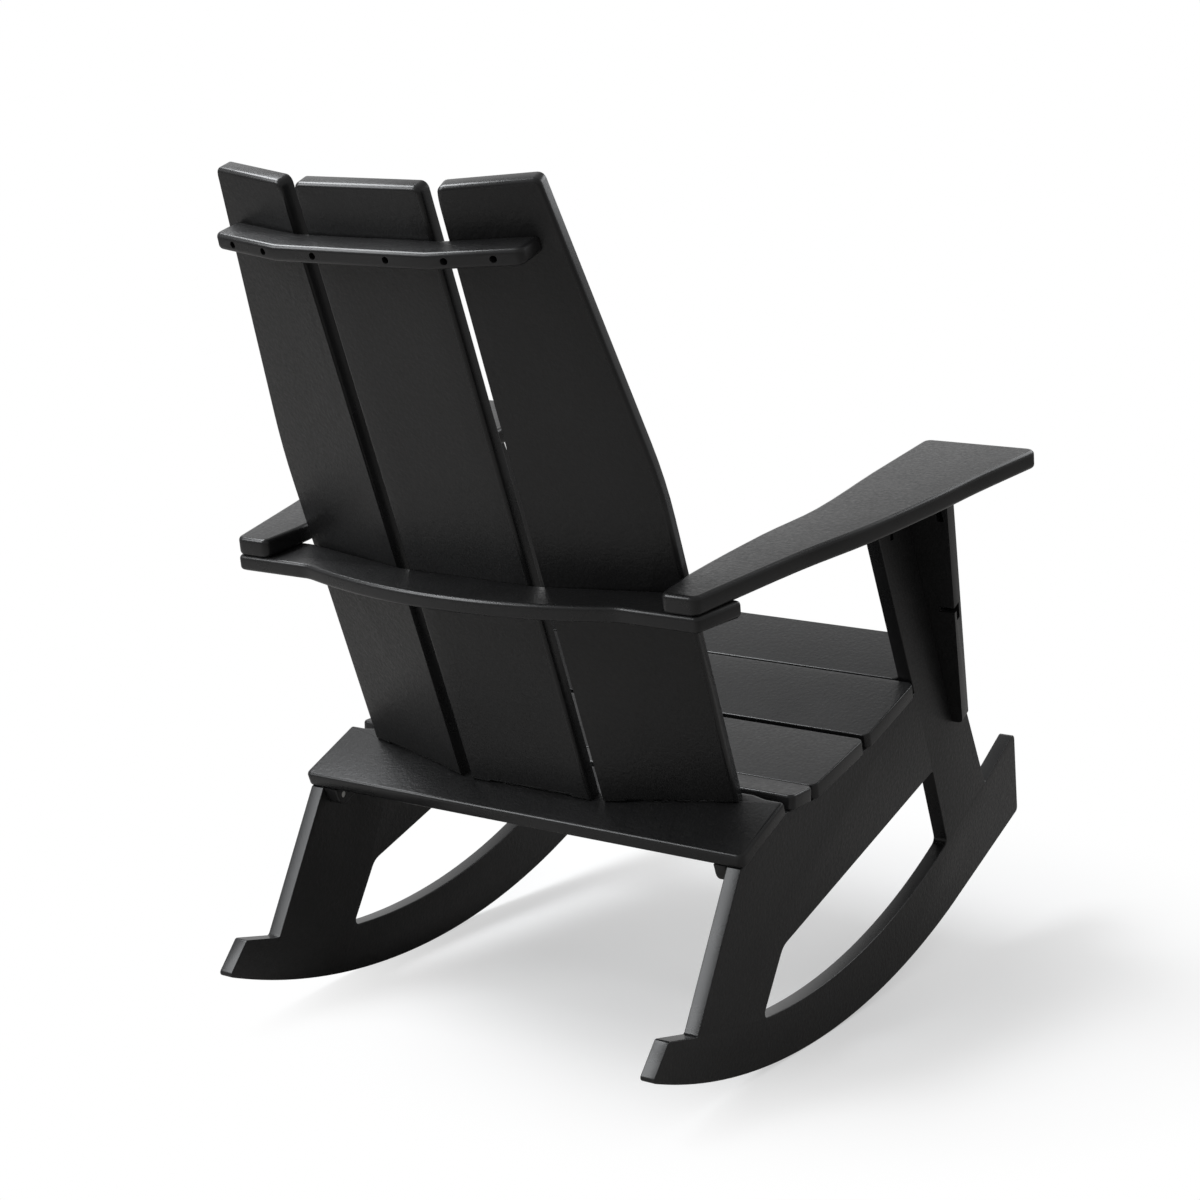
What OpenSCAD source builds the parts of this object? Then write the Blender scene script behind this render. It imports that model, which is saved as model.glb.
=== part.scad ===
// Garden rocking chair, cut from black plastic sheet, the armrests from a thicker one.
// X runs across the chair, +X to the sitter's left; the chair faces -Y; +Z is up.
// The outlines are drawn with Y counted from the line where the rockers touch the ground,
// and the finished pieces are moved so that the origin lies under the middle of the chair.

/* [Sheet] */
// Thickness of the sheet that every board but the armrests is cut from
board_t = 18; // [12:0.5:24]
// Gap left where two pieces meet at a slant
fit_gap = 0.3; // [0.1:0.1:1]

/* [Rockers] */
// Radius of the edge that rolls on the ground
rocker_r = 943; // [800:1:1200]
// Reach of the round edge ahead of the line where it touches the ground
round_reach = 344.6; // [300:0.1:380]
// Reach of the tail behind that line
tail_reach = 352; // [330:1:380]
// Slant of the tail's end, front to back
tail_slant = 31; // [20:1:45]
// Height of the tail's end above the round edge
tail_h = 47; // [35:1:60]
// Reach of the corner between the tail and the rear leg
heel_reach = 264; // [250:1:285]
// Height of that corner above the round edge
heel_h = 52; // [40:1:65]
// Reach of the horn's lower corner
horn_reach = 526.8; // [480:0.1:580]
// Height of the horn's lower corner
horn_low_z = 140; // [120:1:155]
// Reach of the horn's upper corner
horn_top_reach = 508.5; // [470:0.1:560]
// Height of the horn's upper corner
horn_top_z = 247.5; // [230:0.5:270]
// Height of the notch between the horn and the front edge
notch_z = 200; // [185:1:215]
// Radius of the outline's outer corners
outer_corner_r = 7; // [3:0.5:12]
// Radius of the outline's inner corners
inner_corner_r = 4; // [2:0.5:8]

/* [Side frames] */
// Width over the outer faces of the two side frames
frame_w = 584; // [540:1:640]
// Width of the post where it meets the armrest
post_top_w = 92.7; // [70:0.1:110]
// Lean of the post's front edge in degrees
post_front_lean = 29.5; // [27:0.1:32]
// Lean of the post's rear edge in degrees
post_rear_lean = 26.75; // [24:0.05:29]
// Gap between the post and the board behind it
post_gap = 3; // [1:0.5:6]
// Radius of the window's lower edge
window_r = 798; // [700:1:900]
// Place of the lowest point of that edge, behind the line on the ground
window_low_y = 43; // [30:1:55]
// Height of that lowest point
window_low_z = 61; // [45:1:75]
// Reach of the window's rear corner
window_rear_reach = 127; // [115:1:140]
// Reach of the window's front corner
window_front_reach = 321.8; // [300:0.1:335]
// Place of the bend in the window's rear edge, behind the line on the ground
window_bend_y = 84.7; // [70:0.1:95]
// Height of that bend
window_bend_z = 136; // [120:1:160]
// Reach of the window's sharp upper corner
window_nose_reach = 275.6; // [255:0.1:290]
// Height of the window's sharp upper corner
window_nose_z = 250; // [230:1:262]
// Radius of the window's rear corner
window_rear_r = 10; // [5:1:16]
// Radius of the bend in the window's rear edge
window_bend_r = 22; // [10:1:35]
// Radius of the window's front corner
window_front_r = 8; // [4:1:14]
// Radius of the window's sharp upper corner
window_nose_r = 3.5; // [2:0.5:6]

/* [Seat] */
// Height of the frames' upper edge under the flat board
seat_low_z = 288; // [275:1:305]
// Place of the third board's rear edge, behind the line on the ground
seat_mid_y = 24; // [14:1:34]
// Tilt of the front board in degrees
front_tilt = 19.5; // [18.5:0.1:22]
// Length of the front board, front to back
front_len = 98; // [88:0.5:100]
// Tilt of the second board in degrees
second_tilt = 18.2; // [16.5:0.1:19]
// Length of the second board
second_len = 122.6; // [110:0.1:135]
// Tilt of the third board in degrees
third_tilt = 13.4; // [11:0.1:15]
// Length of the third board
third_len = 118.5; // [105:0.1:130]
// Length of the narrow flat board
narrow_len = 47.5; // [38:0.5:56]
// Length of the rear board that the back stands on
rear_len = 98.4; // [90:0.1:110]
// Gap between the second board and the third
seat_gap = 6.5; // [3:0.5:9]
// Gap at the rear edge of the front board and the second
seat_lead = 2.5; // [1:0.5:4]
// Gap between the third board and the narrow one
seat_slit = 1.5; // [1:0.1:4]
// Gap between the narrow board and the rear one, at their undersides
rear_gap = 11.8; // [8:0.1:16]
// How far the boards stand out beyond the side frames
seat_overhang = 4.5; // [0:0.5:8]
// Gap between the front board and each post
front_board_gap = 0.5; // [0.3:0.1:1.5]
// Radius of the boards' corners
seat_corner_r = 8; // [3:0.5:12]
// How far the rear board steps forward between the cleats
rear_step = 4; // [1:0.5:6]
// Length of that step's slope across the chair
rear_step_run = 17; // [8:1:20]

/* [Cleats under the seat] */
// Depth of the cleats under the boards
cleat_d = 27; // [24:0.5:32]
// Gap from the rear edge of the rear board to the cleat's end
cleat_rear_setback = 0.5; // [0.5:0.5:6]
// Radius of the cleat's rear corner
cleat_r = 18; // [8:1:22]

/* [Front apron] */
// Height of the apron under the front board
apron_h = 88; // [70:1:100]
// How far the apron lies behind the posts' front edges
apron_setback = 6; // [1:0.5:8]

/* [Armrests] */
// Height of the armrests' underside over the line on the ground
arm_z = 584.7; // [560:0.1:620]
// Tilt of the armrests in degrees
arm_tilt = 8.42; // [7.5:0.01:9.5]
// Length of an armrest
arm_len = 584; // [550:1:610]
// Thickness of the armrests' sheet
arm_t = 21.5; // [15:0.5:26]
// Reach of the armrests' rear ends behind the face of the centre slat
arm_rear_d = 25.6; // [18:0.1:34]
// Overhang of the armrest's front corner beyond the side frame
arm_overhang = 117; // [85:0.1:125]
// Overhang of the armrest inside the frame's outer face at its front
arm_inside = 26.6; // [22:0.1:34]
// Radius of the armrest's corners
arm_corner_r = 11; // [5:0.5:14]

/* [Gussets under the armrests] */
// Length of a gusset down the post
gusset_len = 340; // [300:1:345]
// Width of a gusset at the armrest
gusset_top_w = 56.5; // [50:0.5:66]
// Width of a gusset at its lower tip
gusset_tip_w = 13.7; // [10:0.1:18]
// Radius of the tip's corner
gusset_tip_r = 7; // [3:0.5:9]
// Lean of a gusset in degrees
gusset_lean = 26.6; // [25.5:0.1:28]
// Distance of a gusset behind the post's front edge at the armrest
gusset_setback = 2; // [0:0.5:6]

/* [Back] */
// Lean of the back in degrees
back_lean = 23.4; // [21:0.1:25]
// Length of the back slats
slat_len = 747; // [690:0.5:780]
// Width of the centre slat at its foot
centre_foot_w = 164; // [150:0.5:172]
// Width of the centre slat at its top
centre_top_w = 157; // [145:0.5:164]
// Distance of the side slats' outer edges inside the frames' outer faces
side_clear = 43.7; // [38:0.1:52]
// How much narrower a side slat is at its top than at its foot
side_taper = 48; // [36:0.5:60]
// Height up a side slat where its outer edge turns inwards
taper_from = 401; // [370:1:440]
// Radius of that turn
taper_r = 650; // [400:10:700]
// Gap between two slats at their feet
slat_gap = 15.2; // [11:0.1:20]
// Turn of the side slats towards the sitter in degrees
slat_turn = 14; // [11:0.1:16]
// Distance of the centre slat's rear face behind the rear board's front edge
slat_seat = 56.5; // [53:0.1:62]
// Radius of the slats' corners
slat_corner_r = 8; // [3:0.5:12]
// Depth of the relief under each slat's foot
foot_relief = 2.5; // [1:0.5:4]
// Width of each foot beside the relief
foot_w = 26; // [20:1:36]

/* [Back braces] */
// Depth of the lower brace behind the centre slat
brace_mid_d = 60.3; // [52:0.1:72]
// Radius of the lower brace's rear edge
brace_r = 607; // [560:1:680]
// Radius where that edge runs out into the straight ends
brace_blend_r = 60; // [30:1:90]
// How far the lower brace's ends stand out beyond the side frames at the rear
brace_out_rear = 8.6; // [5:0.1:12]
// How far the ends stand out at the front
brace_out_front = 24; // [16:0.5:27]
// Length of the lower brace's ends, front to back
brace_end_len = 64; // [55:0.5:70]
// Height of the upper brace's top face up the slats
upper_at = 692; // [640:0.5:705]
// Depth of the upper brace behind the slats
upper_d = 36.7; // [30:0.1:44]
// Tilt of the upper brace off square in degrees
upper_tilt = 6; // [3:0.1:10]
// Distance of the upper brace's ends inside the outer edges of the side slats' tops
upper_end_gap = 13.5; // [8:0.5:24]
// How far the ends of the upper brace flare out towards the rear
upper_end_flare = 3; // [0:0.5:8]
// Radius of the upper brace's rear corners
upper_corner_r = 9; // [4:0.5:12]

/* [Screws] */
// Length of a screw under its head
screw_len = 30; // [28:0.5:31]
// How far a screw bites into the second piece
screw_bite = 15; // [13:0.5:15.5]
// Radius of a screw's shank
shank_r = 2.1; // [1.5:0.1:2.5]
// Radius of a screw's head
head_r = 3.6; // [3:0.1:4]
// Height of a screw's head
head_h = 2.6; // [2:0.1:2.8]
// Length of a screw's point
point_len = 5; // [3:0.5:7]
// Gap round a screw in its hole
screw_gap = 0.15; // [0.05:0.05:0.3]
// Length of an open channel that a screw is driven from
channel_len = 26; // [20:1:28]
// Length of the one that opens through the post
post_channel_len = 41; // [30:1:50]

/* [Hidden] */
sheet_colour = "#2c2c2e";
screw_colour = "#9a9a96";

// Overrun of every cut past the face that it opens
cut = 1;
// Largest gap between a rounded corner and its straight pieces
curve_tol = 0.1;
// Straight pieces in the rolling edge and in the window's lower edge
rocker_steps = 48;
window_steps = 24;
// Straight pieces between two points of an armrest's edge
edge_steps = 4;

// Armrest edges as [share of its length from the rear, share of its overhang]
arm_outer_shares = [[0, 0.07], [0.28, 0.335], [0.46, 0.563], [0.655, 0.735], [0.8, 0.83], [1, 1]];
arm_inner_shares = [[0, 1.3], [0.115, 1.48], [0.35, 1.24], [0.516, 0.8], [0.76, 0.95], [1, 1]];
// Seat screws as shares of each board's length from its rear edge
front_screw_shares = [0.18, 0.66];
second_screw_shares = [0.2, 0.8];
third_screw_shares = [0.2, 0.8];
narrow_screw_shares = [0.5];
rear_screw_shares = [0.3, 0.72];
// Cleat screws as shares of each board's length from its rear edge
front_cleat_share = 0.42;
second_cleat_share = 0.5;
third_cleat_share = 0.5;
rear_cleat_share = 0.11;
// Gusset screws as shares of its length from the armrest, and the upward one of its width
gusset_screw_shares = [0.13, 0.49];
gusset_up_share = 0.75;
// Apron screws as shares of its height from the front board
apron_screw_shares = [0.36, 0.8];
// Screws into each slat as shares of the slat's width at its foot
centre_screw_share = 0.278;
side_screw_shares = [0.1, 0.42];
brace_screw_shares = [0.2, 0.7];
foot_screw_shares = [0.08, 0.92];
// Screws from the lower brace into an armrest as shares of the brace's end
brace_up_shares = [0.25, 0.75];

function unit(v) = v / norm(v);
function cross_of(u, v) = u.x * v.y - u.y * v.x;
function turned(v, a) = [v.x * cos(a) - v.y * sin(a), v.x * sin(a) + v.y * cos(a)];
function flat(p) = [p.x, p.y];
// Point where the line through p along u meets the line through q along v
function meet(p, u, q, v) = p + u * cross_of(q - p, v) / cross_of(u, v);
// Arc round c as a list of points, from angle a0 to a1 in n straight pieces
function arc(c, r, a0, a1, n) =
    [for (i = [0:n]) c + turned([r, 0], a0 + (a1 - a0) * i / n)];
// Corner p between its neighbours a and b, rounded to radius r or to what its edges leave room for
function corner(a, p, b, r) =
    let (u = unit(a - p),
         v = unit(b - p),
         half = acos(u * v) / 2,
         reach = min(r / tan(half), norm(a - p) / 2, norm(b - p) / 2),
         rad = reach * tan(half),
         c = p + unit(u + v) * rad / sin(half),
         turn = 180 - 2 * half,
         way = cross_of(u, v) > 0 ? -1 : 1,
         n = max(2, ceil(turn / min(22.5, 2 * acos(1 - curve_tol / rad)))))
    [for (i = [0:n]) c + turned(p + u * reach - c, way * turn * i / n)];
// Outline from points [x, y, radius], with each corner rounded to its radius
function soften(pts) =
    let (n = len(pts))
    [for (i = [0:n - 1])
        each pts[i][2] == 0 ? [flat(pts[i])]
            : corner(flat(pts[(i + n - 1) % n]), flat(pts[i]), flat(pts[(i + 1) % n]), pts[i][2])];
// Slope of a smooth edge at point i, taken from the points beside it
function slope_at(pts, i) =
    let (a = pts[max(i - 1, 0)], b = pts[min(i + 1, len(pts) - 1)]) (b.y - a.y) / (b.x - a.x);
// Height of the smooth edge through pts at place t of the stretch from point i
function edge_at(pts, i, t) =
    let (w = pts[i + 1].x - pts[i].x,
         t2 = t * t,
         t3 = t2 * t)
    pts[i].y * (2 * t3 - 3 * t2 + 1) + pts[i + 1].y * (3 * t2 - 2 * t3)
        + w * (slope_at(pts, i) * (t3 - 2 * t2 + t) + slope_at(pts, i + 1) * (t3 - t2));
// Smooth edge through pts, with edge_steps points to each stretch
function smooth_edge(pts) =
    [for (i = [0:len(pts) - 2])
        for (k = [0:edge_steps - (i == len(pts) - 2 ? 0 : 1)])
            let (t = k / edge_steps) [pts[i].x + (pts[i + 1].x - pts[i].x) * t, edge_at(pts, i, t)]];

// Directions in the side view for a board tilted by a: forwards along it, and square to it
function ahead(a) = [-cos(a), sin(a)];
function above(a) = [sin(a), cos(a)];
function mitre(a, b, d) = above((a + b) / 2) * d / cos((a - b) / 2);

frame_x = frame_w / 2;
inner_x = frame_x - board_t;
cleat_x = inner_x - board_t;

// Corners of the line that the seat boards lie on, from rear to front
narrow_y = seat_mid_y + board_t * sin(third_tilt) + seat_slit;
rear_top = [narrow_y + narrow_len + rear_gap, seat_low_z];
rear_end = rear_top - rear_len * ahead(back_lean);
mid_rear = [seat_mid_y, seat_low_z];
mid_front = mid_rear + (third_len + seat_gap) * ahead(third_tilt);
second_front = mid_front + (second_len + seat_lead) * ahead(second_tilt);

// Corners of the post
arm_origin = [0, arm_z];
arm_back = -ahead(arm_tilt);
post_rear_dir = above(post_rear_lean);
post_front_dir = above(post_front_lean);
post_foot = second_front + board_t * above(second_tilt) - [post_gap, 0];
post_low = meet(mid_front, ahead(second_tilt), post_foot, post_rear_dir);
post_top_rear = meet(arm_origin, arm_back, post_foot, post_rear_dir);
post_top_front = post_top_rear - post_top_w * arm_back;
notch = meet([0, notch_z], [1, 0], post_top_front, post_front_dir);

// Height of the rolling edge above the ground, y from the line where it touches
function roll_z(y) = rocker_r - sqrt(pow(rocker_r, 2) - pow(y, 2));

// Outline of a side frame, from the horn's lower corner round the underside to the rear
frame_points = soften(concat(
    [[-horn_reach, horn_low_z, outer_corner_r]],
    [for (p = arc([0, rocker_r], rocker_r, -90 - asin(round_reach / rocker_r),
                  -90 + asin(tail_reach / rocker_r), rocker_steps))
        [p.x, p.y, p.x > tail_reach - curve_tol ? inner_corner_r : 0]],
    [[tail_reach - tail_slant, roll_z(tail_reach - tail_slant) + tail_h, inner_corner_r],
     [heel_reach, roll_z(heel_reach) + heel_h, inner_corner_r],
     [rear_end.x, rear_end.y, 0],
     [rear_top.x, rear_top.y, 0],
     [mid_rear.x, mid_rear.y, 0],
     [mid_front.x, mid_front.y, 0],
     [post_low.x, post_low.y, 0],
     [post_top_rear.x, post_top_rear.y, 0],
     [post_top_front.x, post_top_front.y, 0],
     [notch.x, notch.y, inner_corner_r],
     [-horn_top_reach, horn_top_z, outer_corner_r]]));

window_centre = [window_low_y, window_low_z + window_r];
window_points = soften(concat(
    [for (p = arc(window_centre, window_r, -90 - asin((window_front_reach + window_low_y) / window_r),
                  -90 + asin((window_rear_reach - window_low_y) / window_r), window_steps))
        [p.x, p.y, p.x < curve_tol - window_front_reach ? window_front_r
            : p.x > window_rear_reach - curve_tol ? window_rear_r : 0]],
    [[window_bend_y, window_bend_z, window_bend_r],
     [-window_nose_reach, window_nose_z, window_nose_r]]));

// Back: the rear board's upper front edge, and the line where two slats' rear faces meet
back_origin = rear_top + board_t * above(back_lean);
slat_kink_x = centre_foot_w / 2 + slat_gap / 2;
side_foot_w = (frame_x - side_clear - slat_kink_x) / cos(slat_turn) - slat_gap / 2;
side_top_w = side_foot_w - side_taper;
// Place of the slats' rear faces behind the rear board's front edge, x across the chair
function face_at(x) = slat_seat - max(0, abs(x) - slat_kink_x) * tan(slat_turn);
// The same place measured in the armrests' plane, at height z over its underside
function face_in_arm_plane(x, z) =
    (face_at(x) + (back_origin - arm_origin) * -ahead(back_lean) + z * sin(back_lean - arm_tilt))
        / cos(back_lean - arm_tilt);
arm_rear_reach = face_in_arm_plane(0, 0) + arm_rear_d;

// Rear edge of the lower brace, from its end to its middle
brace_rear_x = frame_x + brace_out_rear;
brace_front_x = frame_x + brace_out_front;
brace_front_y = arm_rear_reach - brace_end_len;
brace_round_y = face_in_arm_plane(0, 0) + brace_mid_d - brace_r;
brace_round_x = sqrt(pow(brace_r, 2) - pow(arm_rear_reach - brace_round_y, 2));
brace_turn = asin(brace_round_x / brace_r);
brace_half_turns = arc([0, brace_round_y], brace_r, 90 - brace_turn, 90 + brace_turn, window_steps);

// The origin lies under the middle of the chair
front_most = min([for (p = frame_points) p.x]);
upper_rear = slat_seat + upper_d * cos(upper_tilt);
upper_rise = upper_at + upper_d * sin(upper_tilt);
rear_most = (back_origin - ahead(back_lean) * upper_rear + above(back_lean) * upper_rise).x;
origin_y = -(front_most + rear_most) / 2;

screw_back = screw_len - screw_bite;

module placed() translate([0, origin_y, 0]) children();
module sheet_piece() color(sheet_colour) placed() children();
module screw_group() color(screw_colour) placed() children();
module both_sides() {
    children();
    mirror([1, 0, 0]) children();
}
// Frames of reference: at a point of the side view with a tilt, in the armrests' plane, up the back
module at_side(p, tilt) translate([0, p.x, p.y]) rotate([-tilt, 0, 0]) children();
module on_arms() at_side(arm_origin, arm_tilt) children();
module on_back() at_side(back_origin, back_lean) children();
module on_slat() translate([slat_kink_x, slat_seat, 0]) rotate([0, 0, -slat_turn]) children();
// Board cut to a side view, t thick, its inner face at x
module side_sheet(x, t) translate([x, 0, 0]) rotate([90, 0, 90]) linear_extrude(t) children();
// Board of half width hx with rounded corners, from y0 to y1
module plank(hx, y0, y1) linear_extrude(board_t)
    polygon(soften([[-hx, y0, seat_corner_r], [hx, y0, seat_corner_r],
                    [hx, y1, seat_corner_r], [-hx, y1, seat_corner_r]]));

// Screw along +Z, its head seated at zero
module screw() rotate_extrude($fn = 24)
    polygon([[0, -head_h], [head_r, -head_h], [head_r, 0], [shank_r, 0],
             [shank_r, screw_len - point_len], [0, screw_len]]);
// Hole for a screw's shank, and one with a round mouth of length mouth behind its head
module screw_bore() cylinder(r = shank_r + screw_gap, h = screw_len + screw_gap, $fn = 24);
module screw_hole(mouth) {
    screw_bore();
    translate([0, 0, -mouth]) cylinder(r = head_r + screw_gap, h = mouth, $fn = 24);
}
// Open channel behind a screw's head, out through a face on the +Y side
module screw_channel(len) {
    screw_hole(len);
    translate([-head_r - screw_gap, 0, -len]) cube([2 * (head_r + screw_gap), board_t, len]);
}

// Places of the screws on the +X side, and for the slats on both
module at_seat_screws(p, tilt, len, shares) for (s = shares)
    at_side(p + len * s * ahead(tilt) - screw_back * above(tilt), tilt)
        translate([cleat_x + board_t / 2, 0, 0]) children();
module at_front_screws() at_seat_screws(second_front + seat_lead * ahead(front_tilt), front_tilt,
                                        front_len, front_screw_shares) children();
module at_second_screws() at_seat_screws(mid_front + seat_lead * ahead(second_tilt), second_tilt,
                                         second_len, second_screw_shares) children();
module at_third_screws() at_seat_screws(mid_rear, third_tilt, third_len, third_screw_shares) children();
module at_narrow_screws() at_seat_screws([narrow_y + narrow_len, seat_low_z], 0, narrow_len,
                                         narrow_screw_shares) children();
module at_rear_screws() at_seat_screws(rear_end, back_lean, rear_len, rear_screw_shares) children();
module at_all_seat_screws() {
    at_front_screws() children();
    at_second_screws() children();
    at_third_screws() children();
    at_narrow_screws() children();
    at_rear_screws() children();
}
module at_cleat_screws() for (c = [[second_front, front_tilt, front_len * front_cleat_share],
                                   [mid_front, second_tilt, second_len * second_cleat_share],
                                   [mid_rear, third_tilt, third_len * third_cleat_share],
                                   [rear_end, back_lean, rear_len * rear_cleat_share]])
    at_side(c[0] + c[2] * ahead(c[1]) - cleat_d / 2 * above(c[1]), c[1])
        translate([inner_x - screw_back, 0, 0]) rotate([0, 90, 0]) children();
module at_gusset_screws() for (s = gusset_screw_shares)
    at_gusset() translate([frame_x + screw_back, board_t / 2, -gusset_len * s])
        rotate([0, -90, 0]) children();
module at_gusset_up_screw() at_gusset()
    translate([frame_x + gusset_top_w * gusset_up_share, board_t / 2,
               board_t / 2 * tan(gusset_lean - arm_tilt) - screw_back]) children();
module at_post_screw() at_side(post_top_rear - post_top_w / 2 * arm_back, arm_tilt)
    translate([inner_x + board_t / 2, 0, -screw_back]) rotate([0, 0, -90]) children();
module at_brace_up_screws() for (s = brace_up_shares)
    on_arms() translate([frame_x - board_t / 2, brace_front_y + brace_end_len * s, -screw_back])
        children();
module at_apron_screws() for (s = apron_screw_shares)
    at_side(apron_top, post_front_lean) translate([inner_x - screw_back, board_t / 2, -apron_h * s])
        rotate([0, 90, 0]) children();
module at_brace_screws() for (x = concat([centre_foot_w * centre_screw_share],
        [for (s = brace_screw_shares) slat_kink_x + (slat_gap / 2 + side_foot_w * s) * cos(slat_turn)]))
    on_arms() translate([x, face_in_arm_plane(x, -board_t / 2) + screw_back, -board_t / 2])
        rotate([90, 0, 0]) children();
module at_upper_screws() for (x = concat([centre_foot_w * centre_screw_share],
        [for (s = side_screw_shares) slat_kink_x + slat_gap / 2 + side_foot_w * s]))
    on_back() translate([0, slat_seat, upper_at]) rotate([upper_tilt, 0, 0])
        translate([x, (face_at(x) - slat_seat) / cos(upper_tilt) + screw_back, -board_t / 2])
            rotate([90, 0, 0]) children();
module at_centre_foot_screws() for (s = foot_screw_shares)
    on_back() translate([centre_foot_w * (s - 0.5), slat_seat - board_t / 2, -screw_back]) children();
module at_side_foot_screws() for (s = foot_screw_shares)
    on_back() on_slat() translate([slat_gap / 2 + side_foot_w * s, -board_t / 2, -screw_back]) children();

module frame_sheet() difference() {
    side_sheet(inner_x, board_t) difference() {
        polygon(frame_points);
        polygon(window_points);
    }
    at_cleat_screws() screw_bore();
    at_gusset_screws() screw_bore();
    at_apron_screws() screw_bore();
    at_post_screw() screw_channel(post_channel_len);
}
module side_frame_left() sheet_piece() frame_sheet();
module side_frame_right() sheet_piece() mirror([1, 0, 0]) frame_sheet();

// Armrest, wider towards the front, with a waisted inner edge
module armrest() difference() {
    on_arms() linear_extrude(arm_t) polygon(arm_points);
    at_gusset_up_screw() screw_bore();
    at_post_screw() screw_bore();
    at_brace_up_screws() screw_bore();
}
outer_edge = smooth_edge(arm_outer_shares);
inner_edge = smooth_edge(arm_inner_shares);
arm_points = soften(concat(
    [for (i = [0:len(outer_edge) - 1])
        [frame_x + arm_overhang * outer_edge[i].y, arm_rear_reach - arm_len * outer_edge[i].x,
         i == 0 || i == len(outer_edge) - 1 ? arm_corner_r : 0]],
    [for (i = [len(inner_edge) - 1:-1:0])
        [frame_x - arm_inside * inner_edge[i].y, arm_rear_reach - arm_len * inner_edge[i].x,
         i == 0 || i == len(inner_edge) - 1 ? arm_corner_r : 0]]));
module armrest_left() sheet_piece() armrest();
module armrest_right() sheet_piece() mirror([1, 0, 0]) armrest();

// Gusset: a slim board square to the post that props the armrest's overhang
gusset_top = post_top_front + gusset_setback * arm_back;
module at_gusset() at_side(gusset_top, gusset_lean) children();
module gusset() difference() {
    at_gusset() translate([frame_x, board_t, 0]) rotate([90, 0, 0]) linear_extrude(board_t)
        polygon(soften([[0, -gusset_len, 0], [gusset_tip_w, -gusset_len, gusset_tip_r],
                        [gusset_top_w + gusset_slope * board_t, board_t, 0], [0, board_t, 0]]));
    on_arms() translate([0, -arm_len, 0]) cube([frame_w, 2 * arm_len, 2 * board_t]);
    at_gusset_screws() rotate([0, 0, 90]) screw_channel(channel_len);
    at_gusset_up_screw() screw_channel(channel_len);
    at_gusset() translate([frame_x + screw_back, board_t / 2 - head_r - screw_gap, lower_channel_z])
        cube([gusset_top_w, board_t, 2 * (head_r + screw_gap)]);
}
gusset_slope = (gusset_top_w - gusset_tip_w) / gusset_len;
lower_channel_z = -gusset_len * gusset_screw_shares[1] - head_r - screw_gap;
module arm_gusset_left() sheet_piece() gusset();
module arm_gusset_right() sheet_piece() mirror([1, 0, 0]) gusset();

// Cleat inside each frame that carries the seat boards
cleat_stop = post_top_front + (apron_setback + board_t + fit_gap) * -ahead(post_front_lean);
cleat_low = second_front - cleat_d * above(front_tilt);
cleat_rear = rear_end + cleat_rear_setback * ahead(back_lean);
cleat_rear_low = cleat_rear - cleat_d * above(back_lean);
function wall_point(p, tilt) = meet(p, ahead(tilt), cleat_stop, post_front_dir);
cleat_points = soften([for (p = [
    [cleat_rear, 0],
    [rear_top, 0],
    [mid_rear, 0],
    [mid_front, 0],
    [second_front, 0],
    [wall_point(second_front, front_tilt), 0],
    [wall_point(cleat_low, front_tilt), 0],
    [second_front - mitre(second_tilt, front_tilt, cleat_d), 0],
    [mid_front - mitre(third_tilt, second_tilt, cleat_d), 0],
    [mid_rear - mitre(0, third_tilt, cleat_d), 0],
    [rear_top - mitre(back_lean, 0, cleat_d), 0],
    [cleat_rear_low, cleat_r]]) [p[0].x, p[0].y, p[1]]]);
module cleat() difference() {
    side_sheet(cleat_x, board_t) polygon(cleat_points);
    at_cleat_screws() screw_hole(board_t);
    at_all_seat_screws() screw_hole(cleat_d);
}
module seat_cleat_left() sheet_piece() cleat();
module seat_cleat_right() sheet_piece() mirror([1, 0, 0]) cleat();

// Apron across the front, under the front board
function apron_at(d) = meet(second_front, ahead(front_tilt),
                            post_top_front - d * ahead(post_front_lean), post_front_dir);
apron_top = apron_at(apron_setback);
apron_rear_top = apron_at(apron_setback + board_t);
apron_low = apron_top - apron_h * post_front_dir;
module front_apron() sheet_piece() difference() {
    side_sheet(-inner_x, 2 * inner_x)
        polygon([apron_top, apron_rear_top, apron_low - board_t * ahead(post_front_lean), apron_low]);
    both_sides() at_apron_screws() screw_channel(channel_len);
}

module front_seat_board() sheet_piece() difference() {
    at_side(second_front, front_tilt) plank(inner_x - front_board_gap, -seat_lead - front_len, -seat_lead);
    both_sides() at_front_screws() screw_bore();
}
module second_seat_board() sheet_piece() difference() {
    at_side(mid_front, second_tilt) plank(frame_x + seat_overhang, -seat_lead - second_len, -seat_lead);
    both_sides() at_second_screws() screw_bore();
}
module third_seat_board() sheet_piece() difference() {
    at_side(mid_rear, third_tilt) plank(frame_x + seat_overhang, -third_len, 0);
    both_sides() at_third_screws() screw_bore();
}
module narrow_seat_board() sheet_piece() difference() {
    at_side([narrow_y, seat_low_z], 0) plank(frame_x + seat_overhang, 0, narrow_len);
    both_sides() at_narrow_screws() screw_bore();
}
// Rear board, its front edge stepped forward between the cleats
module rear_seat_board() sheet_piece() difference() {
    at_side(rear_top, back_lean) linear_extrude(board_t) polygon(soften([
        [-frame_x - seat_overhang, 0, seat_corner_r / 2],
        [-inner_x, 0, seat_corner_r],
        [rear_step_run - inner_x, -rear_step, seat_corner_r],
        [inner_x - rear_step_run, -rear_step, seat_corner_r],
        [inner_x, 0, seat_corner_r],
        [frame_x + seat_overhang, 0, seat_corner_r / 2],
        [frame_x + seat_overhang, rear_len, seat_corner_r],
        [-frame_x - seat_overhang, rear_len, seat_corner_r]]));
    both_sides() at_rear_screws() screw_bore();
    at_centre_foot_screws() screw_hole(board_t);
    both_sides() at_side_foot_screws() screw_hole(board_t);
}

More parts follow.
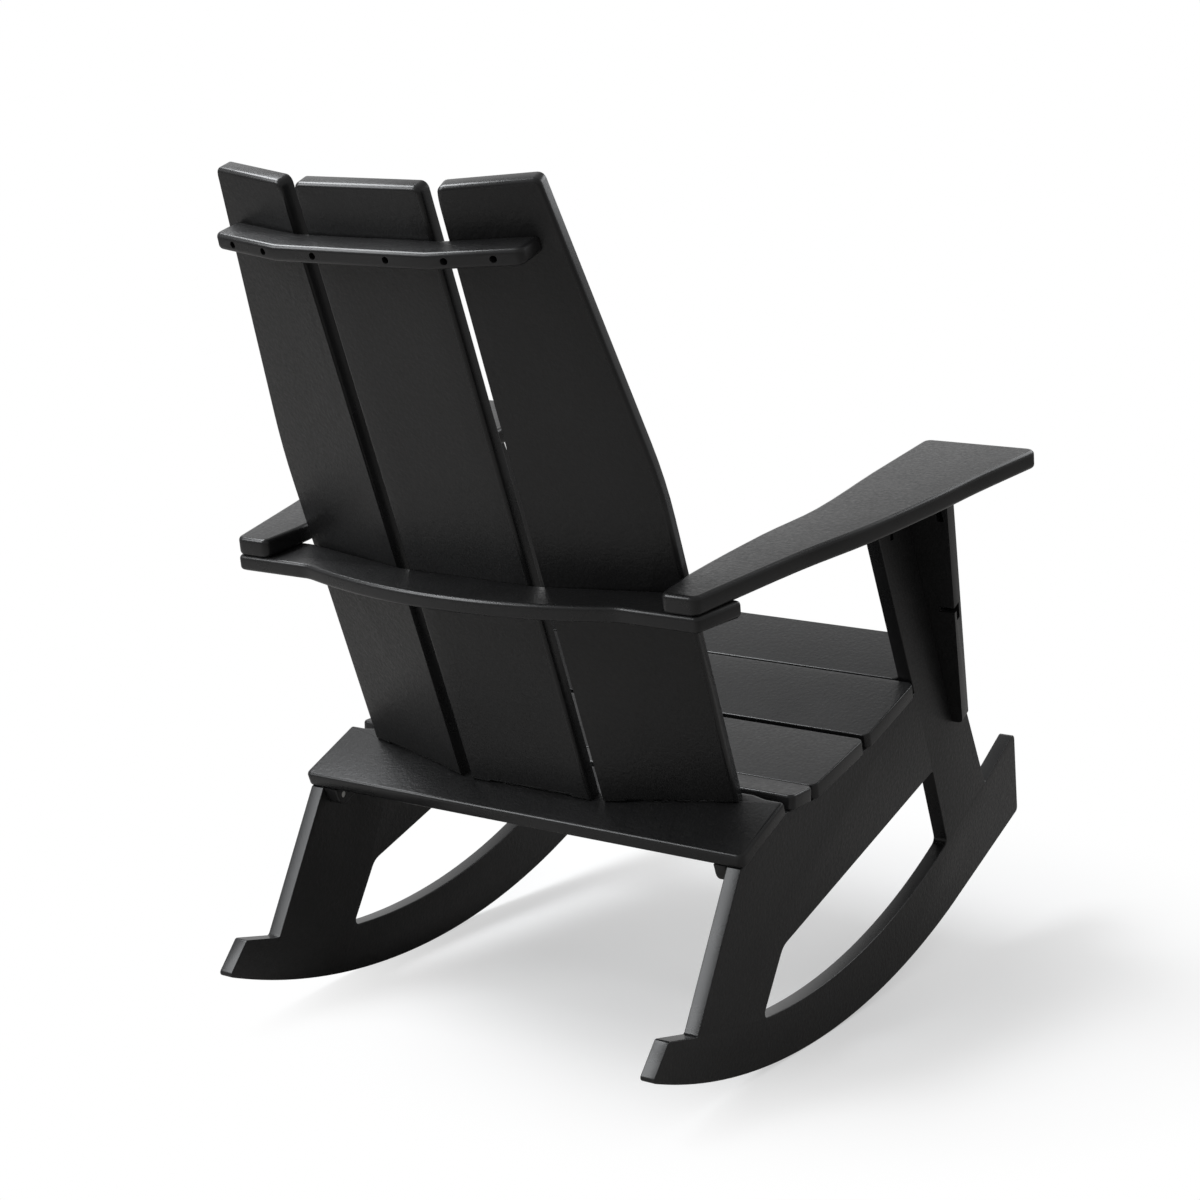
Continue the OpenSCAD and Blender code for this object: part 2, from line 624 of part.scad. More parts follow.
// Relief under a slat's foot, w wide at its mouth
module relief(w) linear_extrude(board_t + 2 * cut)
    polygon([[0, -cut], [0, 0], [foot_relief, foot_relief], [w - foot_relief, foot_relief],
             [w, 0], [w, -cut]]);
module back_slat_centre() sheet_piece() difference() {
    on_back() translate([0, slat_seat, 0]) rotate([90, 0, 0]) linear_extrude(board_t)
        polygon(soften([[-centre_foot_w / 2, 0, 0], [centre_foot_w / 2, 0, 0],
                        [centre_top_w / 2, slat_len, slat_corner_r],
                        [-centre_top_w / 2, slat_len, slat_corner_r]]));
    on_back() translate([foot_w - centre_foot_w / 2, slat_seat + cut, 0])
        rotate([90, 0, 0]) relief(centre_foot_w - 2 * foot_w);
    at_centre_foot_screws() screw_bore();
    both_sides() at_brace_screws() screw_bore();
    both_sides() at_upper_screws() screw_bore();
}
module side_slat() difference() {
    on_back() on_slat() translate([slat_gap / 2, 0, 0]) rotate([90, 0, 0]) linear_extrude(board_t)
        polygon(soften([[0, 0, 0], [side_foot_w, 0, 0], [side_foot_w, taper_from, taper_r],
                        [side_top_w, slat_len, slat_corner_r], [0, slat_len, slat_corner_r]]));
    on_back() on_slat() translate([slat_gap / 2 + foot_w, cut, 0])
        rotate([90, 0, 0]) relief(side_foot_w - 2 * foot_w);
    at_side_foot_screws() screw_bore();
    at_brace_screws() screw_bore();
    at_upper_screws() screw_bore();
}
module back_slat_left() sheet_piece() side_slat();
module back_slat_right() sheet_piece() mirror([1, 0, 0]) side_slat();

// All that lies ahead of the slats' rear faces, which the braces' front edges are cut back to
module slat_space() on_back() translate([0, fit_gap, -board_t]) linear_extrude(slat_len + 2 * board_t)
    polygon([[-slat_kink_x, slat_seat], [slat_kink_x, slat_seat],
             [frame_w, face_at(frame_w)], [frame_w, -frame_w],
             [-frame_w, -frame_w], [-frame_w, face_at(frame_w)]]);

// Lower brace: a crescent under the armrests' rear ends, bevelled to the three slats
module lower_back_brace() sheet_piece() difference() {
    on_arms() translate([0, 0, -board_t]) linear_extrude(board_t) polygon(soften(concat(
        [[-brace_front_x, brace_front_y, inner_corner_r], [brace_front_x, brace_front_y, inner_corner_r],
         [brace_rear_x, arm_rear_reach, outer_corner_r]],
        [for (i = [0:window_steps]) let (p = brace_half_turns[i])
            [p.x, p.y, i == 0 || i == window_steps ? brace_blend_r : 0]],
        [[-brace_rear_x, arm_rear_reach, outer_corner_r]])));
    slat_space();
    both_sides() at_brace_up_screws() screw_hole(board_t);
    both_sides() at_brace_screws() rotate([0, 0, 180]) screw_channel(channel_len);
}

// Upper brace: three straight lengths that follow the slats
upper_kink_x = slat_kink_x + upper_d * tan(slat_turn / 2);
upper_side_dir = [cos(slat_turn), -sin(slat_turn)];
upper_end = side_top_w - upper_end_gap;
upper_front_end = [slat_kink_x, 0] + (slat_gap / 2 + upper_end) * upper_side_dir;
upper_rear_end = [upper_kink_x, upper_d]
    + (slat_gap / 2 + upper_end + upper_end_flare - upper_d * tan(slat_turn / 2)) * upper_side_dir;
upper_lead = upper_front_end + unit(upper_front_end - upper_rear_end) * board_t;
module upper_back_brace() sheet_piece() difference() {
    on_back() translate([0, slat_seat, upper_at]) rotate([upper_tilt, 0, 0])
        translate([0, 0, -board_t]) linear_extrude(board_t) polygon(soften([
            [-upper_lead.x, upper_lead.y, 0], [0, -board_t, 0], [upper_lead.x, upper_lead.y, 0],
            [upper_rear_end.x, upper_rear_end.y, upper_corner_r], [upper_kink_x, upper_d, 0],
            [-upper_kink_x, upper_d, 0], [-upper_rear_end.x, upper_rear_end.y, upper_corner_r]]));
    slat_space();
    both_sides() at_upper_screws() screw_hole(upper_d);
}

module seat_screws() screw_group() both_sides() at_all_seat_screws() screw();
module cleat_screws() screw_group() both_sides() at_cleat_screws() screw();
module apron_screws() screw_group() both_sides() at_apron_screws() screw();
module gusset_screws() screw_group() both_sides() at_gusset_screws() screw();
module armrest_screws() screw_group() both_sides() {
    at_gusset_up_screw() screw();
    at_post_screw() screw();
    at_brace_up_screws() screw();
}
module lower_brace_screws() screw_group() both_sides() at_brace_screws() screw();
module upper_brace_screws() screw_group() both_sides() at_upper_screws() screw();
module slat_foot_screws() screw_group() {
    at_centre_foot_screws() screw();
    both_sides() at_side_foot_screws() screw();
}

side_frame_left();
side_frame_right();
armrest_left();
armrest_right();
arm_gusset_left();
arm_gusset_right();
seat_cleat_left();
seat_cleat_right();
front_apron();
front_seat_board();
second_seat_board();
third_seat_board();
narrow_seat_board();
rear_seat_board();
back_slat_left();
back_slat_centre();
back_slat_right();
lower_back_brace();
upper_back_brace();
seat_screws();
cleat_screws();
apron_screws();
gusset_screws();
armrest_screws();
lower_brace_screws();
upper_brace_screws();
slat_foot_screws();
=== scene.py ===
"""Looks of a garden rocking chair cut from black plastic sheet: rounded boards, grain, steel screws, studio.

Every board of the frame is shown as a copy whose long edges are rounded over with a router's quarter-round,
as they are on the real chair. The screws keep their own solids and get a steel finish.
"""

import math

import bmesh
import bpy
import numpy as np
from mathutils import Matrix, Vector


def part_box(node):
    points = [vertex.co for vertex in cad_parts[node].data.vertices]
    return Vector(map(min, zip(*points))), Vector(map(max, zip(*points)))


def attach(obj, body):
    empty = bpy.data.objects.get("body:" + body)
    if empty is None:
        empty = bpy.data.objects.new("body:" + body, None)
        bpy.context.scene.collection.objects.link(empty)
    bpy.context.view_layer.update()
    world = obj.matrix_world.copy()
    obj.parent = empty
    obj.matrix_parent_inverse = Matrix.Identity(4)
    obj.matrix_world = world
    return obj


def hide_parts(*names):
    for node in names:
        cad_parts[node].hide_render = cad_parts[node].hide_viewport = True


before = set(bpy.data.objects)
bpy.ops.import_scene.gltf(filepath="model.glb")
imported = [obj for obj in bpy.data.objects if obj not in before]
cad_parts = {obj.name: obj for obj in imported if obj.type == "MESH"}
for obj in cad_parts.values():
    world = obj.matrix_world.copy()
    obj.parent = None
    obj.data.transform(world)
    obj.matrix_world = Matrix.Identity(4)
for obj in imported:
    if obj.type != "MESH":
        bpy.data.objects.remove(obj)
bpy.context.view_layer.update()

# Radius of the rounded edges of each kind of board, in metres
FRAME_ROUND = 0.0038
SEAT_ROUND = 0.0018
REAR_ROUND = 0.0042
ARM_ROUND = 0.005
SLAT_ROUND = 0.0048
BRACE_ROUND = 0.0048
SMALL_ROUND = 0.0034
EDGE_ROUND = {
    "side_frame_left": FRAME_ROUND, "side_frame_right": FRAME_ROUND,
    "armrest_left": ARM_ROUND, "armrest_right": ARM_ROUND,
    "arm_gusset_left": SMALL_ROUND, "arm_gusset_right": SMALL_ROUND,
    "seat_cleat_left": SMALL_ROUND, "seat_cleat_right": SMALL_ROUND,
    "front_apron": SMALL_ROUND,
    "front_seat_board": SEAT_ROUND, "second_seat_board": SEAT_ROUND,
    "third_seat_board": SEAT_ROUND, "narrow_seat_board": SMALL_ROUND,
    "rear_seat_board": REAR_ROUND,
    "back_slat_left": SLAT_ROUND, "back_slat_centre": SLAT_ROUND, "back_slat_right": SLAT_ROUND,
    "lower_back_brace": BRACE_ROUND, "upper_back_brace": BRACE_ROUND,
}
# Boards whose outlines have room for the full radius all round; the others' is held back where it is tight
ROOMY = ("armrest", "back_slat", "lower_back_brace", "seat_board")
# Share of the radius that a slat's front edges get; its front skin's facing has a y under the second value
SLAT_FRONT_SHARE = 0.3
FRONT_FACING = -0.5
# Steps in each quarter-round
ROUND_STEPS = 5
# In degrees: faces that bend less than the first are made one, and edges sharper than the second stay sharp
FLAT_ANGLE = 0.6
SHARP_ANGLE = 32

# Decimals to which corners, in metres, and facings have to agree to count as one
CORNER_DIGITS = 6
FACING_DIGITS = 3
# Area that triangles without any are given, so that nothing is divided by zero
LEAST_AREA = 1e-12
# A face's turn runs from 0 for a wall of the sheet to 1 for its skin: a wall's is under the first value, and
# a skin's over the second, or over the third once the edges are rounded
WALL_MOST = 0.6
SKIN_LEAST = 0.995
ROUNDED_SKIN_LEAST = 0.999
# Share of the sheet's thickness that a wall of its outline has to reach
WALL_HEIGHT = 0.95
# How near the sheet's outermost plane a face lies to count as its skin
SKIN_DEPTH = 0.0002

SCREW_NODES = [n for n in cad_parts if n.endswith("_screws")]
# How near to a screw's line, and to its middle, the rim of its hole lies
HOLE_REACH = 0.0046
SCREW_REACH = 0.075
# Part of a screw's direction that has to lie in the sheet's plane for it to lie along the sheet
ALONG_LEAST = 0.2

# Noises of the black sheet as scale, detail and roughness: slow mottle, orange peel, and speckle of the gloss
MOTTLE = (13.0, 4.0, 0.6)
PEEL = (210.0, 3.0, 0.65)
SPECKLE = (260.0, 2.0, 0.5)
# Part of a noise's range over which values are spread
NOISE_LOW = 0.3
NOISE_HIGH = 0.7
# Each pair is the value where the mottle is low and where it is high, on the skins and on the cut edges
SKIN_BLACKS = ((0.0105, 0.0105, 0.0107), (0.0145, 0.0145, 0.0148))
CUT_BLACKS = ((0.0125, 0.0125, 0.0128), (0.0175, 0.0175, 0.018))
SKIN_ROUGH = (0.36, 0.41)
CUT_ROUGH = (0.25, 0.3)
SKIN_GRAIN = (0.85, 1.0)
CUT_GRAIN = (0.03, 0.06)
# What the speckle adds to the skins' roughness, and the grain's depth in metres
SPECKLE_ROUGH = (-0.04, 0.09)
GRAIN_DEPTH = 0.0006
PLASTIC_IOR = 1.5
# Screws: colour, least and most roughness, and scale of the turning marks
STEEL = (0.62, 0.62, 0.6)
STEEL_ROUGH = (0.28, 0.42)
MARKS_SCALE = 900.0

# Camera: place in metres from the line where the rockers touch the ground, and how far that line lies behind
# the side frames' foremost point; turn and rise in degrees; lens and sensor in millimetres
CAMERA_FROM_LINE = (-1.6235, 2.4785, 1.1052)
FRAME_REACH = 0.52586
CAMERA_TURN = 213.29
CAMERA_RISE = 12.013
LENS = 78.75
SENSOR = 36.0

# Room: how strongly it lights, how brightly it is mirrored, and how brightly its front is
WHITE = (1, 1, 1, 1)
ROOM_LIGHT = 0.36
ROOM_REFLECTION = 0.3
BRIGHT_FRONT = 0.9
# Direction of the bright front, and nearness to it, 1 at its middle, where it starts and where it is full
BRIGHT_FRONT_WAY = (0.5, -0.75, 0.42)
FRONT_STARTS = 0.87
FRONT_FULL = 0.965
# Floor: size, place, the paint that throws light on the chair, the paint that is seen, and its lift to white
FLOOR_RADIUS = 14.0
FLOOR_SIDES = 96
FLOOR_PLACE = (-0.1, -0.2, -0.0004)
FLOOR_PAINT = (0.36, 0.35, 0.34)
FLOOR_SEEN = 0.62
FLOOR_LIFT = 0.42
# Distances from the floor's middle between which it fades to plain white
SHADOW_REACH = 0.25
WHITE_FROM = 0.72
# Softboxes: place, width, length and power; they face one point and share a colour
LAMPS = {
    "key_lamp": ((1.25, 0.55, 2.5), 1.5, 0.8, 40),
    "rear_lamp": ((1.4, 1.85, 1.85), 1.3, 1.1, 27),
    "front_lamp": ((-0.85, -2.15, 2.0), 1.8, 1.1, 17),
}
LAMP_AIM = (0, 0, 0.4)
COOL_WHITE = (0.96, 0.98, 1.0)


def field(items, name, wide=1, kind=float):
    """One field of a mesh's corners, edges or faces as an array, with so many numbers to a row."""
    values = np.empty(len(items) * wide, dtype=kind)
    items.foreach_get(name, values)
    return values.reshape(-1, wide) if wide > 1 else values


def new_object(name, data):
    """Object that holds the data, put in the scene."""
    piece = bpy.data.objects.new(name, data)
    bpy.context.scene.collection.objects.link(piece)
    return piece


def new_material(name):
    """Material with its node tree switched on."""
    mat = bpy.data.materials.new(name)
    mat.use_nodes = True
    return mat


def board_mesh(node):
    """Corners and triangles of a node as arrays, with corners that share a place made one."""
    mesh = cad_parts[node].data
    mesh.calc_loop_triangles()
    co = np.round(field(mesh.vertices, "co", 3), CORNER_DIGITS)
    places, index = np.unique(co, axis=0, return_inverse=True)
    tri = index.reshape(-1)[field(mesh.loop_triangles, "vertices", 3, int)]
    return places, tri[(tri[:, 0] != tri[:, 1]) & (tri[:, 1] != tri[:, 2]) & (tri[:, 0] != tri[:, 2])]


def sheet_normal(co, tri):
    """Direction square to a board's sheet: the facing that the most area shares."""
    cross = np.cross(co[tri[:, 1]] - co[tri[:, 0]], co[tri[:, 2]] - co[tri[:, 0]])
    area = np.linalg.norm(cross, axis=1)
    facing = np.round(cross / np.maximum(area, LEAST_AREA)[:, None], FACING_DIGITS)
    kinds, which = np.unique(facing, axis=0, return_inverse=True)
    best = kinds[np.argmax(np.bincount(which.reshape(-1), weights=area))]
    return best / np.linalg.norm(best)


def loose_parts(count, tri):
    """For every corner, the lowest corner that triangles join it to: corners of one loose part share it."""
    part = np.arange(count)
    while True:
        joined = part.copy()
        np.minimum.at(joined, tri, part[tri].min(axis=1)[:, None])
        if (joined == part).all():
            return part
        part = joined


def screw_lines():
    """Middle and direction of every screw: the direction in which its corners spread the furthest."""
    lines = []
    for node in SCREW_NODES:
        co, tri = board_mesh(node)
        part = loose_parts(len(co), tri)
        for p in np.unique(part):
            corners = co[part == p]
            middle = corners.mean(axis=0)
            _, _, ways = np.linalg.svd(corners - middle, full_matrices=False)
            lines.append((middle, ways[0]))
    return lines


def screw_rims(co, ends, normal, lines, along):
    """True for edges on the rim of a screw's hole: both their ends lie near its line and near its middle.

    Screws that pass through the sheet always count, and those that lie along it count if along is true.
    """
    rims = np.zeros(len(ends), bool)
    for middle, way in lines:
        flat_way = way - normal * (way @ normal)
        reach = np.linalg.norm(flat_way)
        lies = reach > ALONG_LEAST
        if lies and not along:
            continue
        away = co - middle
        flat = away - np.outer(away @ normal, normal)
        if lies:
            flat_way = flat_way / reach
            flat = flat - np.outer(flat @ flat_way, flat_way)
        near = (np.linalg.norm(flat, axis=1) < HOLE_REACH) & (np.linalg.norm(away, axis=1) < SCREW_REACH)
        rims |= near[ends].all(axis=1)
    return rims


def outline_edges(mesh, co, normal, low_walls):
    """For every edge: True where a skin of the sheet meets a wall, and the skin's facing.

    Unless low_walls is true, the wall has to be as tall as the sheet is thick: those of channels are lower.
    """
    edge_of_loop = field(mesh.loops, "edge_index", kind=int)
    corners = field(mesh.polygons, "loop_total", kind=int)
    facing = field(mesh.polygons, "normal", 3)
    height = (co @ normal)[field(mesh.loops, "vertex_index", kind=int)]
    first = np.cumsum(corners) - corners
    tall = np.maximum.reduceat(height, first) - np.minimum.reduceat(height, first)
    thickness = height.max() - height.min()
    face_of_loop = np.repeat(np.arange(len(corners)), corners)
    order = np.argsort(edge_of_loop, kind="stable")
    uses = np.bincount(edge_of_loop, minlength=len(mesh.edges))
    start = np.cumsum(uses) - uses
    one = face_of_loop[order[start]]
    other = face_of_loop[order[np.minimum(start + 1, len(order) - 1)]]
    turn = np.abs(facing @ normal)
    wall = np.where(turn[one] < turn[other], one, other)
    skin = np.where(turn[one] < turn[other], other, one)
    square = (uses == 2) & (turn[wall] < WALL_MOST) & (turn[skin] > SKIN_LEAST)
    return square & (low_walls | (tall[wall] > WALL_HEIGHT * thickness)), facing[skin]


def join_flat_faces(mesh):
    """Makes faces that lie in one plane a single face."""
    bm = bmesh.new()
    bm.from_mesh(mesh)
    bmesh.ops.dissolve_limit(bm, angle_limit=math.radians(FLAT_ANGLE), verts=bm.verts, edges=bm.edges)
    bm.to_mesh(mesh)
    bm.free()


def rounded_board(node, radius, lines):
    """Copy of a board with its outline's edges marked for rounding, and the direction square to its sheet.

    An edge is marked where a skin of the sheet meets the outline's wall, unless it is the rim of a hole.
    """
    co, tri = board_mesh(node)
    normal = sheet_normal(co, tri)
    mesh = bpy.data.meshes.new(node + "_board")
    mesh.from_pydata(co.tolist(), [], tri.tolist())
    mesh.update()
    board = new_object(node + "_board", mesh)
    join_flat_faces(mesh)
    co = field(mesh.vertices, "co", 3)
    ends = field(mesh.edges, "vertices", 2, int)
    tight = not any(kind in node for kind in ROOMY)
    outline, skins = outline_edges(mesh, co, normal, tight)
    weight = (outline & ~screw_rims(co, ends, normal, lines, tight)).astype(float)
    if node.startswith("back_slat"):
        weight[skins[:, 1] < FRONT_FACING] *= SLAT_FRONT_SHARE
    mesh.attributes.new("bevel_weight_edge", "FLOAT", "EDGE").data.foreach_set("value", weight)
    bevel = board.modifiers.new("edge_round", "BEVEL")
    bevel.limit_method = "WEIGHT"
    bevel.width = radius
    bevel.segments = ROUND_STEPS
    bevel.use_clamp_overlap = tight
    return board, normal


def bake_modifiers(piece):
    """Puts the result of a piece's modifiers into its own mesh."""
    graph = bpy.context.evaluated_depsgraph_get()
    result = bpy.data.meshes.new_from_object(piece.evaluated_get(graph), depsgraph=graph)
    piece.modifiers.clear()
    piece.data = result


def mark_cut_edges(mesh, normal):
    """Face attribute cut_edge: 0 on the sheet's two skins, 1 on every wall, rounding and channel cut into it.

    A face is skin where it is square to the sheet's direction and lies in the lowest or highest plane.
    """
    height = field(mesh.polygons, "center", 3) @ normal
    flat = np.abs(field(mesh.polygons, "normal", 3) @ normal) > ROUNDED_SKIN_LEAST
    outermost = (height < height.min() + SKIN_DEPTH) | (height > height.max() - SKIN_DEPTH)
    layer = mesh.attributes.new("cut_edge", "FLOAT", "FACE")
    layer.data.foreach_set("value", (~(flat & outermost)).astype(float))


def shade_smooth_by_angle(mesh):
    """Smooth shading with the sharper edges kept sharp."""
    mesh.polygons.foreach_set("use_smooth", np.ones(len(mesh.polygons), bool))
    mesh.set_sharp_from_angle(angle=math.radians(SHARP_ANGLE))


def sheet_finish():
    """Black plastic sheet: skins with an orange-peel grain, and cut edges that the router left smooth.

    The grain is a noise of some 5 mm and finer, and one of some 4 mm speckles the gloss. Cut edges have
    hardly any grain and no speckle, and are glossier and a little paler. A slow noise of some 80 mm varies
    tone, gloss and grain.
    """
    mat = new_material("black_sheet")
    nodes, links = mat.node_tree.nodes, mat.node_tree.links
    nodes.clear()
    out = nodes.new("ShaderNodeOutputMaterial")
    shader = nodes.new("ShaderNodeBsdfPrincipled")
    shader.inputs["IOR"].default_value = PLASTIC_IOR
    links.new(shader.outputs["BSDF"], out.inputs["Surface"])
    place = nodes.new("ShaderNodeTexCoord")
    cut = nodes.new("ShaderNodeAttribute")
    cut.attribute_type = "GEOMETRY"
    cut.attribute_name = "cut_edge"

    def noise(scale, detail, rough):
        """Noise on the board's own coordinates."""
        n = nodes.new("ShaderNodeTexNoise")
        n.inputs["Scale"].default_value = scale
        n.inputs["Detail"].default_value = detail
        n.inputs["Roughness"].default_value = rough
        links.new(place.outputs["Object"], n.inputs["Vector"])
        return n.outputs["Fac"]

    def spread(value, low, high):
        """Noise stretched to run from the low value to the high one."""
        r = nodes.new("ShaderNodeMapRange")
        r.inputs["From Min"].default_value = NOISE_LOW
        r.inputs["From Max"].default_value = NOISE_HIGH
        r.inputs["To Min"].default_value = low
        r.inputs["To Max"].default_value = high
        links.new(value, r.inputs["Value"])
        return r.outputs["Result"]

    def blacks(dark, pale):
        """Colour that the mottle varies between a dark and a paler one."""
        ramp = nodes.new("ShaderNodeValToRGB")
        ramp.color_ramp.elements[0].position = NOISE_LOW
        ramp.color_ramp.elements[0].color = (*dark, 1)
        ramp.color_ramp.elements[1].position = NOISE_HIGH
        ramp.color_ramp.elements[1].color = (*pale, 1)
        links.new(mottle, ramp.inputs["Fac"])
        return ramp.outputs["Color"]

    def between(skin, edge, kind):
        """The first value on the skins and the second on the cut edges."""
        m = nodes.new("ShaderNodeMix")
        m.data_type = kind
        socket = "VALUE" if kind == "FLOAT" else kind
        links.new(cut.outputs["Fac"], m.inputs["Factor"])
        ends = [i for i in m.inputs if i.name in ("A", "B") and i.type == socket]
        links.new(skin, ends[0])
        links.new(edge, ends[1])
        return next(o for o in m.outputs if o.type == socket)

    mottle = noise(*MOTTLE)
    links.new(between(blacks(*SKIN_BLACKS), blacks(*CUT_BLACKS), "RGBA"), shader.inputs["Base Color"])
    skin_rough = nodes.new("ShaderNodeMath")
    skin_rough.operation = "ADD"
    links.new(spread(mottle, *SKIN_ROUGH), skin_rough.inputs[0])
    links.new(spread(noise(*SPECKLE), *SPECKLE_ROUGH), skin_rough.inputs[1])
    links.new(between(skin_rough.outputs["Value"], spread(mottle, *CUT_ROUGH), "FLOAT"),
              shader.inputs["Roughness"])
    bump = nodes.new("ShaderNodeBump")
    bump.inputs["Distance"].default_value = GRAIN_DEPTH
    links.new(noise(*PEEL), bump.inputs["Height"])
    links.new(between(spread(mottle, *SKIN_GRAIN), spread(mottle, *CUT_GRAIN), "FLOAT"),
              bump.inputs["Strength"])
    links.new(bump.outputs["Normal"], shader.inputs["Normal"])
    return mat


def screw_finish():
    """Plain stainless steel with faint turning marks."""
    mat = new_material("screw_steel")
    nodes, links = mat.node_tree.nodes, mat.node_tree.links
    shader = nodes["Principled BSDF"]
    shader.inputs["Base Color"].default_value = (*STEEL, 1)
    shader.inputs["Metallic"].default_value = 1.0
    place = nodes.new("ShaderNodeTexCoord")
    marks = nodes.new("ShaderNodeTexNoise")
    marks.inputs["Scale"].default_value = MARKS_SCALE
    links.new(place.outputs["Object"], marks.inputs["Vector"])
    rough = nodes.new("ShaderNodeMapRange")
    rough.inputs["To Min"].default_value = STEEL_ROUGH[0]
    rough.inputs["To Max"].default_value = STEEL_ROUGH[1]
    links.new(marks.outputs["Fac"], rough.inputs["Value"])
    links.new(rough.outputs["Result"], shader.inputs["Roughness"])
    return mat


def mix_by_ray(tree, kind, otherwise, when):
    """Shader that is one thing for rays of a kind, such as camera rays, and another for the rest."""
    path = tree.nodes.new("ShaderNodeLightPath")
    mix = tree.nodes.new("ShaderNodeMixShader")
    tree.links.new(path.outputs[kind], mix.inputs["Fac"])
    tree.links.new(otherwise, mix.inputs[1])
    tree.links.new(when, mix.inputs[2])
    return mix.outputs["Shader"]


def white_room():
    """World that the camera sees as plain white. It lights less, and is mirrored with a bright front."""
    world = bpy.data.worlds.new("white_room")
    bpy.context.scene.world = world
    world.use_nodes = True
    tree = world.node_tree
    tree.nodes.clear()

    def glow(strength):
        """Even white light from all round."""
        g = tree.nodes.new("ShaderNodeBackground")
        g.inputs["Color"].default_value = WHITE
        g.inputs["Strength"].default_value = strength
        return g.outputs["Background"]

    way = tree.nodes.new("ShaderNodeTexCoord")
    nearness = tree.nodes.new("ShaderNodeVectorMath")
    nearness.operation = "DOT_PRODUCT"
    nearness.inputs[1].default_value = Vector(BRIGHT_FRONT_WAY).normalized()
    tree.links.new(way.outputs["Generated"], nearness.inputs[0])
    front = tree.nodes.new("ShaderNodeMapRange")
    front.interpolation_type = "SMOOTHSTEP"
    front.inputs["From Min"].default_value = FRONT_STARTS
    front.inputs["From Max"].default_value = FRONT_FULL
    front.inputs["To Min"].default_value = ROOM_REFLECTION
    front.inputs["To Max"].default_value = BRIGHT_FRONT
    tree.links.new(nearness.outputs["Value"], front.inputs["Value"])
    mirrored = glow(ROOM_REFLECTION)
    tree.links.new(front.outputs["Result"], mirrored.node.inputs["Strength"])
    lit = mix_by_ray(tree, "Is Glossy Ray", glow(ROOM_LIGHT), mirrored)
    out = tree.nodes.new("ShaderNodeOutputWorld")
    tree.links.new(mix_by_ray(tree, "Is Camera Ray", lit, glow(1.0)), out.inputs["Surface"])


def floor_finish():
    """Paint that shows the shadow to the camera near the floor's middle and is plain white further out.

    For all other rays it is a plain grey paint, so that it throws little light on the chair.
    """
    mat = new_material("white_floor")
    tree = mat.node_tree
    nodes, links = tree.nodes, tree.links
    nodes.clear()
    paint = nodes.new("ShaderNodeBsdfDiffuse")
    paint.inputs["Color"].default_value = (*FLOOR_PAINT, 1)
    shown = nodes.new("ShaderNodeBsdfDiffuse")
    shown.inputs["Color"].default_value = (FLOOR_SEEN, FLOOR_SEEN, FLOOR_SEEN, 1)
    lift = nodes.new("ShaderNodeEmission")
    lift.inputs["Strength"].default_value = FLOOR_LIFT
    lifted = nodes.new("ShaderNodeAddShader")
    links.new(shown.outputs["BSDF"], lifted.inputs[0])
    links.new(lift.outputs["Emission"], lifted.inputs[1])
    plain = nodes.new("ShaderNodeEmission")
    place = nodes.new("ShaderNodeTexCoord")
    away = nodes.new("ShaderNodeVectorMath")
    away.operation = "LENGTH"
    links.new(place.outputs["Object"], away.inputs[0])
    fade = nodes.new("ShaderNodeMapRange")
    fade.interpolation_type = "SMOOTHSTEP"
    fade.inputs["From Min"].default_value = SHADOW_REACH
    fade.inputs["From Max"].default_value = WHITE_FROM
    links.new(away.outputs["Value"], fade.inputs["Value"])
    seen = nodes.new("ShaderNodeMixShader")
    links.new(fade.outputs["Result"], seen.inputs["Fac"])
    links.new(lifted.outputs["Shader"], seen.inputs[1])
    links.new(plain.outputs["Emission"], seen.inputs[2])
    out = nodes.new("ShaderNodeOutputMaterial")
    links.new(mix_by_ray(tree, "Is Camera Ray", paint.outputs["BSDF"], seen.outputs["Shader"]),
              out.inputs["Surface"])
    return mat


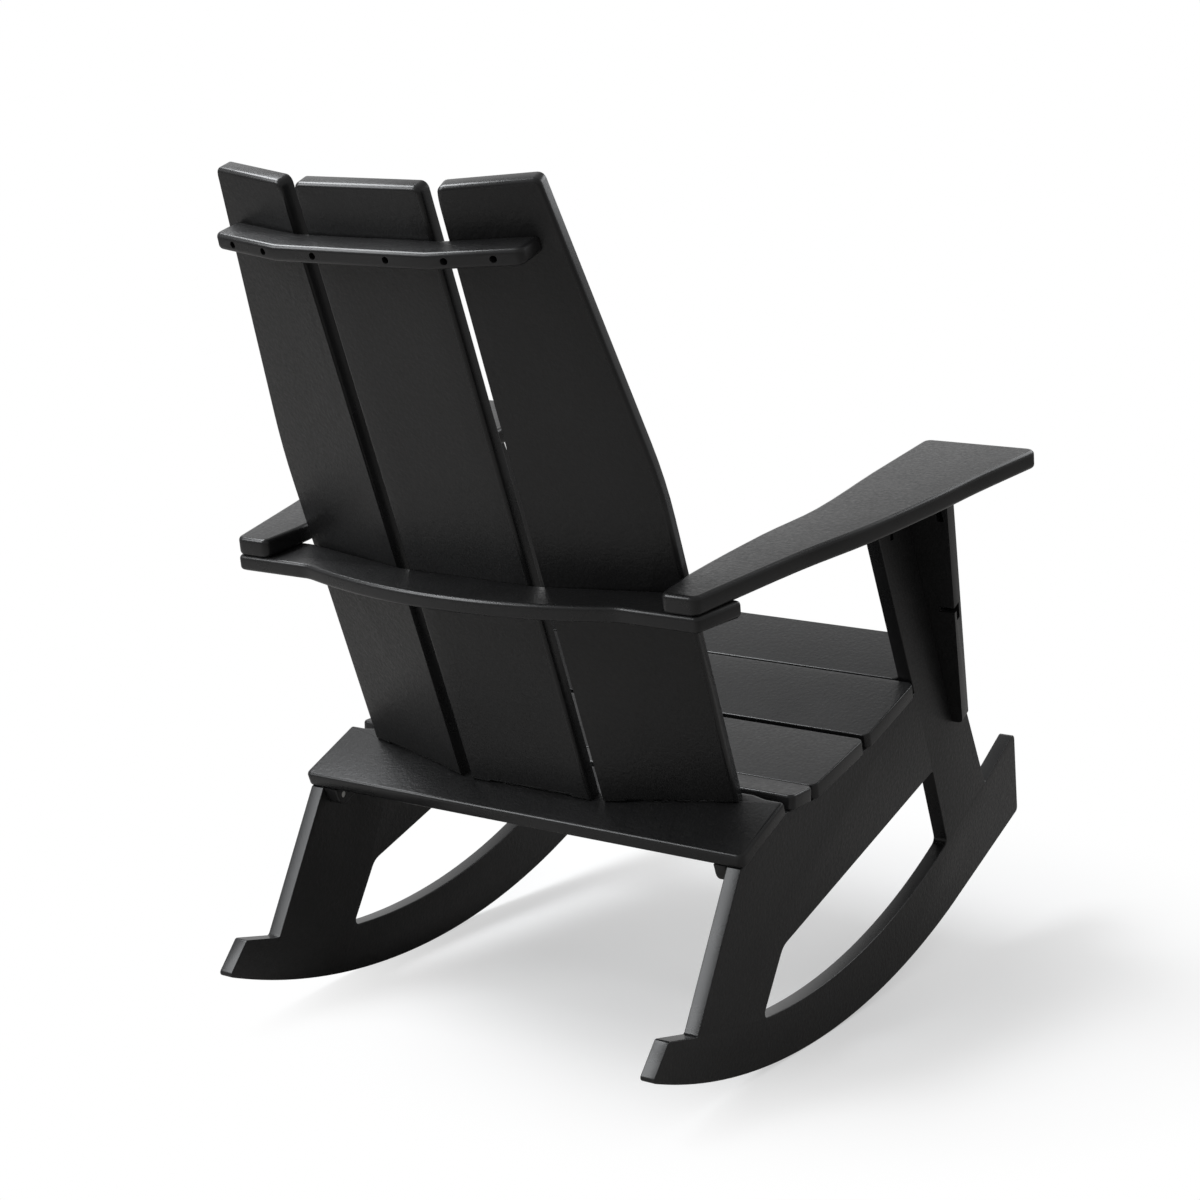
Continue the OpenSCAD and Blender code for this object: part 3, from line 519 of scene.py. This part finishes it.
def white_floor():
    """Round floor that the chair stands on."""
    mesh = bpy.data.meshes.new("floor")
    turn = np.linspace(0, 2 * np.pi, FLOOR_SIDES, endpoint=False)
    rim = FLOOR_RADIUS * np.stack([np.cos(turn), np.sin(turn), np.zeros(FLOOR_SIDES)], axis=1)
    mesh.from_pydata(rim.tolist(), [], [tuple(range(FLOOR_SIDES))])
    mesh.materials.append(floor_finish())
    floor = new_object("floor", mesh)
    floor.location = FLOOR_PLACE


def soft_lamp(name, place, wide, long, power):
    """Softbox, level across and so wide, long the other way, that faces the middle of the chair."""
    data = bpy.data.lights.new(name, "AREA")
    data.shape = "RECTANGLE"
    data.size = wide
    data.size_y = long
    data.energy = power
    data.color = COOL_WHITE
    lamp = new_object(name, data)
    lamp.location = place
    lamp.rotation_euler = (Vector(LAMP_AIM) - Vector(place)).to_track_quat("-Z", "Y").to_euler()


def camera():
    """Stands where the photograph was taken from and looks the same way."""
    data = bpy.data.cameras.new("camera")
    data.lens = LENS
    data.sensor_width = SENSOR
    eye = new_object("camera", data)
    line_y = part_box("side_frame_left")[0].y + FRAME_REACH
    eye.location = (CAMERA_FROM_LINE[0], CAMERA_FROM_LINE[1] + line_y, CAMERA_FROM_LINE[2])
    turn, rise = math.radians(CAMERA_TURN), math.radians(CAMERA_RISE)
    back = Vector((math.sin(turn) * math.cos(rise), -math.cos(turn) * math.cos(rise), math.sin(rise)))
    eye.rotation_euler = (-back).to_track_quat("-Z", "Y").to_euler()
    bpy.context.scene.camera = eye


bpy.context.scene.view_settings.view_transform = "Standard"
camera()
white_room()
white_floor()
for name, lamp in LAMPS.items():
    soft_lamp(name, *lamp)
black = sheet_finish()
steel = screw_finish()
screw_middles = screw_lines()
for node, radius in EDGE_ROUND.items():
    board, normal = rounded_board(node, radius, screw_middles)
    bake_modifiers(board)
    mark_cut_edges(board.data, normal)
    shade_smooth_by_angle(board.data)
    board.data.materials.append(black)
    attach(board, "root")
    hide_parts(node)
for node in SCREW_NODES:
    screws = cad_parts[node]
    for s in screws.material_slots:
        s.material = steel
